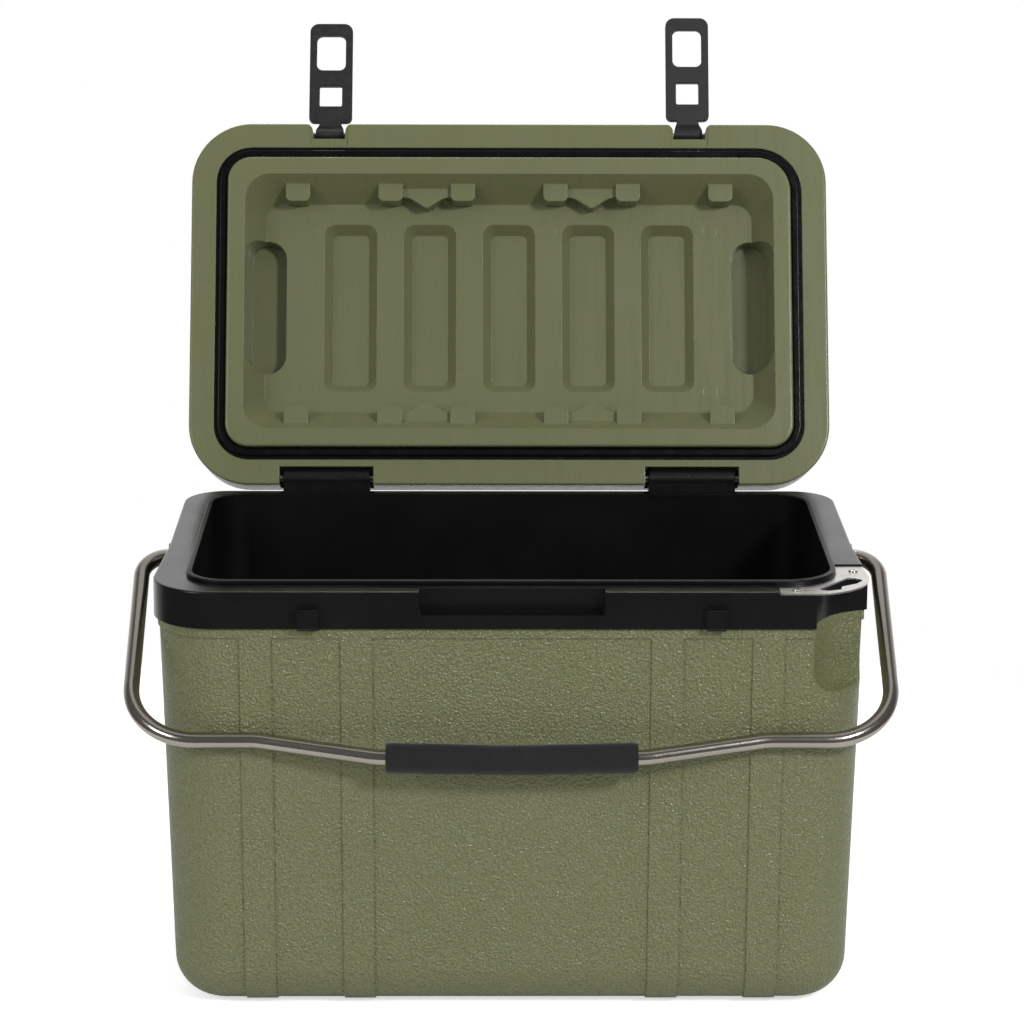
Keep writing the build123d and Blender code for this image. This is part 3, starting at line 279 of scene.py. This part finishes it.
# Polished tube, with fine marks round it
tube_steel = Finish("tube_steel", (0.46, 0.425, 0.38), 0.2, metallic=1.0)
tube_marks = tube_steel.noise(420, 3, 0.6, tube_steel.stretched((6.0, 1.0, 1.0)))
tube_steel.rough(tube_marks, 0.14, 0.27)
tube_steel.tint(tube_steel.noise(24, 3, 0.5), 0.4, 0.75, 0.5, (0.36, 0.33, 0.29))
tube_steel.bump(tube_marks, 0.00002, 0.35)
paint(tube_steel, "bail_handle")

# Pins: plain drawn steel
pin_steel = Finish("pin_steel", (0.56, 0.56, 0.56), 0.3, metallic=1.0)
pin_steel.rough(pin_steel.noise(600, 3, 0.6), 0.22, 0.4)
pin_steel.bump(pin_steel.noise(900, 2, 0.5), 0.00002, 0.4)
paint(pin_steel, "left_hinge_pin", "right_hinge_pin", "left_latch_pin", "right_latch_pin")

# Opener plate: sheet steel brushed one way
plate_steel = Finish("plate_steel", (0.66, 0.645, 0.61), 0.3, metallic=1.0)
brushing = plate_steel.noise(300, 4, 0.65, plate_steel.stretched((0.15, 6.0, 1.0), (0, 0, 0.6)))
plate_steel.rough(brushing, 0.22, 0.42)
plate_steel.tint(plate_steel.noise(70, 4, 0.6), 0.5, 0.8, 0.5, (0.42, 0.41, 0.39))
plate_steel.round_edges(0.0003)
plate_steel.bump(brushing, 0.00002, 0.4)
paint(plate_steel, "bottle_opener")

# Screws: bright ones in the opener, dark ones in the hinges
screw_bright = Finish("screw_bright", (0.72, 0.72, 0.72), 0.14, metallic=1.0)
screw_bright.rough(screw_bright.noise(500, 3, 0.6), 0.10, 0.22)
screw_bright.round_edges(0.0002)
screw_bright.bump(screw_bright.noise(900, 2, 0.5), 0.00001, 0.4)
paint(screw_bright, "opener_screws")

screw_dark = Finish("screw_dark", (0.05, 0.05, 0.052), 0.4, metallic=1.0)
screw_dark.rough(screw_dark.noise(500, 3, 0.6), 0.3, 0.5)
screw_dark.round_edges(0.0002)
screw_dark.bump(screw_dark.noise(900, 2, 0.5), 0.00002, 0.4)
paint(screw_dark, "hinge_screws")

# Insulation, seen only through the joints between the skins
insulation = Finish("insulation", (0.62, 0.53, 0.32), 0.9, specular=0.2)
insulation.tint(insulation.noise(60, 4, 0.6), 0.4, 0.7, 0.5, (0.52, 0.43, 0.25))
insulation.bump(insulation.cells(900), 0.0003, 0.6)
paint(insulation, "foam_core", "lid_foam")

# Foam sleeve of the bail
grip_skin = Finish("grip_skin", (0.017, 0.017, 0.0185), 0.85, specular=0.25)
pores = grip_skin.cells(2100, 0.0004, 900)
# Darker colour toward the low creases between the pores: painted shade
grip_skin.tint(pores, 0.2, 0.8, 0.6, (0.009, 0.009, 0.010))
grip_skin.tint(grip_skin.noise(70, 4, 0.6), 0.45, 0.8, 0.5, (0.026, 0.026, 0.028))
grip_skin.shader.inputs["Sheen Weight"].default_value = 0.25
grip_skin.shader.inputs["Sheen Roughness"].default_value = 0.4
grip_skin.bump(grip_skin.spread(pores, 0.0, 0.8, 1.0, 0.0), 0.00022, 0.7)
grip_skin.bump(grip_skin.noise(160, 3, 0.6), 0.0004, 0.4)

grip_half_length = 0.0885
grip_radius = 0.0107
grip_bore = 0.0060
grip_reach = 0.1923             # from the line between the pivots to the grip's middle
grip_bend = 0.0263              # how far each half climbs, for its length
bend_blend = 0.01               # stretch over which the halves meet
end_length = 0.006              # of the rounding at each end
end_round = 0.0011
bore_flare = 1.1                # of the bore's mouth
flare_depth = 0.0012
grip_sides = 72
grip_steps = 150
step_crowding = 1.35            # brings the rings closer toward the ends

bail_down = Vector((0, -cos(bail_rest_angle), -sin(bail_rest_angle)))
bail_out = Vector((0, -sin(bail_rest_angle), cos(bail_rest_angle)))


def grip_centre(u):
    """Middle of the sleeve at a distance u from the bail's middle."""
    sag = grip_bend * (sqrt(u * u + bend_blend ** 2) - bend_blend)
    return Vector((u, 0, bail_height)) + bail_down * (grip_reach - sag)


def grip_girth(u, turn):
    """Outside radius: soft swells and pinches, and ends that are a little crushed."""
    end = min(1.0, (grip_half_length - abs(u)) / end_length)
    swell = 0.00005 * sin(u * 210 + 0.7) + 0.0001 * sin(u * 96 + 2.0 * sin(turn + 0.6))
    dent = 0.0001 * sin(2 * turn + u * 40) + 0.00005 * sin(5 * turn - u * 90)
    round_off = end_round * (1 - sqrt(max(0.0, 1 - (1 - end) ** 2)))
    return grip_radius + swell + dent - round_off


def add_ring(shape, u, girth):
    """Ring of points round the tube, with a radius that may change round it."""
    ring = []
    for k in range(grip_sides):
        turn = 2 * pi * k / grip_sides
        out = bail_down * cos(turn) + bail_out * sin(turn)
        ring.append(shape.verts.new(grip_centre(u) + out * girth(u, turn)))
    return ring


def foam_sleeve():
    """Thick-walled sleeve, built ring by ring: along its outside, then back through its bore."""
    mesh = bpy.data.meshes.new("foam_sleeve")
    shape = bmesh.new()
    rings = []
    for i in range(grip_steps + 1):
        share = -1 + 2 * i / grip_steps
        side = 1 if share > 0 else -1
        u = grip_half_length * (1 - (1 - abs(share)) ** step_crowding) * side
        rings.append(add_ring(shape, u, grip_girth))
    bore_end = grip_half_length - flare_depth
    for u, radius in (
        (grip_half_length, grip_bore * bore_flare),
        (bore_end, grip_bore),
        (-bore_end, grip_bore),
        (-grip_half_length, grip_bore * bore_flare),
    ):
        rings.append(add_ring(shape, u, lambda place, turn: radius))
    for a, b in zip(rings, rings[1:] + rings[:1]):
        for k in range(grip_sides):
            after = (k + 1) % grip_sides
            shape.faces.new((a[k], a[after], b[after], b[k]))
    bmesh.ops.recalc_face_normals(shape, faces=shape.faces)
    for face in shape.faces:
        face.smooth = True
    shape.to_mesh(mesh)
    shape.free()
    sleeve = bpy.data.objects.new("foam_sleeve", mesh)
    bpy.context.scene.collection.objects.link(sleeve)
    mesh.materials.append(grip_skin.material)
    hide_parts("foam_grip")
    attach(sleeve, "bail")


foam_sleeve()

# Floor: a pale disc, small enough that the collar's front mirrors what lies beyond it
floor_radius = 0.8
floor_drop = 0.0002
floor_white = 0.62              # added toward the camera, so that only the shadow shows
floor_mesh = bpy.data.meshes.new("floor")
floor_shape = bmesh.new()
bmesh.ops.create_circle(floor_shape, cap_ends=True, segments=128, radius=floor_radius)
floor_shape.to_mesh(floor_mesh)
floor_shape.free()
floor = bpy.data.objects.new("floor", floor_mesh)
bpy.context.scene.collection.objects.link(floor)
floor.location = (0, 0, -floor_drop)
floor_paint = Finish("floor_paint", (0.86, 0.86, 0.86), 0.9, specular=0.1)
floor_path = floor_paint.node("ShaderNodeLightPath")
floor_paint.shader.inputs["Emission Color"].default_value = (1, 1, 1, 1)
floor_seen = floor_paint.join("MULTIPLY", floor_path.outputs["Is Camera Ray"], floor_white)
floor_paint.tree.links.new(floor_seen, floor_paint.shader.inputs["Emission Strength"])
floor_mesh.materials.append(floor_paint.material)

# White surroundings for the camera. Reflections find them white behind the cooler and dim in front.
ambient_level = 0.45
mirrored_front = 0.12
mirrored_back = 1.0
mirrored_from = 0.3             # along Y, where the one starts to turn into the other
mirrored_to = 0.85
world = bpy.data.worlds.new("studio")
bpy.context.scene.world = world
world.use_nodes = True
world_tree = world.node_tree


def world_node(kind, **settings):
    made = world_tree.nodes.new(kind)
    for key, value in settings.items():
        setattr(made, key, value)
    return made


ambient = world_tree.nodes["Background"]
ambient.inputs["Color"].default_value = (1, 1, 1, 1)
ambient.inputs["Strength"].default_value = ambient_level
backdrop = world_node("ShaderNodeBackground")
backdrop.inputs["Color"].default_value = (1, 1, 1, 1)
backdrop.inputs["Strength"].default_value = 1.0
mirrored = world_node("ShaderNodeBackground")
mirrored.inputs["Color"].default_value = (1, 1, 1, 1)
direction = world_node("ShaderNodeSeparateXYZ")
around = world_node("ShaderNodeTexCoord")
world_tree.links.new(around.outputs["Generated"], direction.inputs["Vector"])
dimming = world_node("ShaderNodeMapRange")
dimming.inputs["From Min"].default_value = mirrored_from
dimming.inputs["From Max"].default_value = mirrored_to
dimming.inputs["To Min"].default_value = mirrored_front
dimming.inputs["To Max"].default_value = mirrored_back
world_tree.links.new(direction.outputs["Y"], dimming.inputs["Value"])
world_tree.links.new(dimming.outputs["Result"], mirrored.inputs["Strength"])
path = world_node("ShaderNodeLightPath")
seen = world_node("ShaderNodeMath", operation="MAXIMUM")
world_tree.links.new(path.outputs["Is Camera Ray"], seen.inputs[0])
world_tree.links.new(path.outputs["Is Transmission Ray"], seen.inputs[1])
by_mirror = world_node("ShaderNodeMixShader")
world_tree.links.new(path.outputs["Is Glossy Ray"], by_mirror.inputs[0])
world_tree.links.new(ambient.outputs["Background"], by_mirror.inputs[1])
world_tree.links.new(mirrored.outputs["Background"], by_mirror.inputs[2])
pick = world_node("ShaderNodeMixShader")
world_tree.links.new(seen.outputs["Value"], pick.inputs[0])
world_tree.links.new(by_mirror.outputs["Shader"], pick.inputs[1])
world_tree.links.new(backdrop.outputs["Background"], pick.inputs[2])
world_tree.links.new(pick.outputs["Shader"], world_tree.nodes["World Output"].inputs["Surface"])


def soft_box(name, place, target, size, power):
    """Rectangular soft light aimed at a point."""
    data = bpy.data.lights.new(name, "AREA")
    data.shape = "RECTANGLE"
    data.size, data.size_y = size
    data.energy = power
    made = bpy.data.objects.new(name, data)
    bpy.context.scene.collection.objects.link(made)
    made.location = place
    made.rotation_euler = (Vector(target) - Vector(place)).to_track_quat("-Z", "Y").to_euler()
    return made


soft_box("key", (1.7, -2.5, 2.1), (0, 0, 0.25), (0.45, 0.45), 57)
soft_box("fill", (-2.1, -2.1, 1.7), (0, 0, 0.25), (1.2, 1.2), 22)
soft_box("top", (0.0, 0.4, 2.7), (0, 0.05, 0.3), (2.4, 2.4), 8)
soft_box("rim", (0.1, 1.7, 2.5), (0, 0.1, 0.4), (0.9, 0.3), 13)
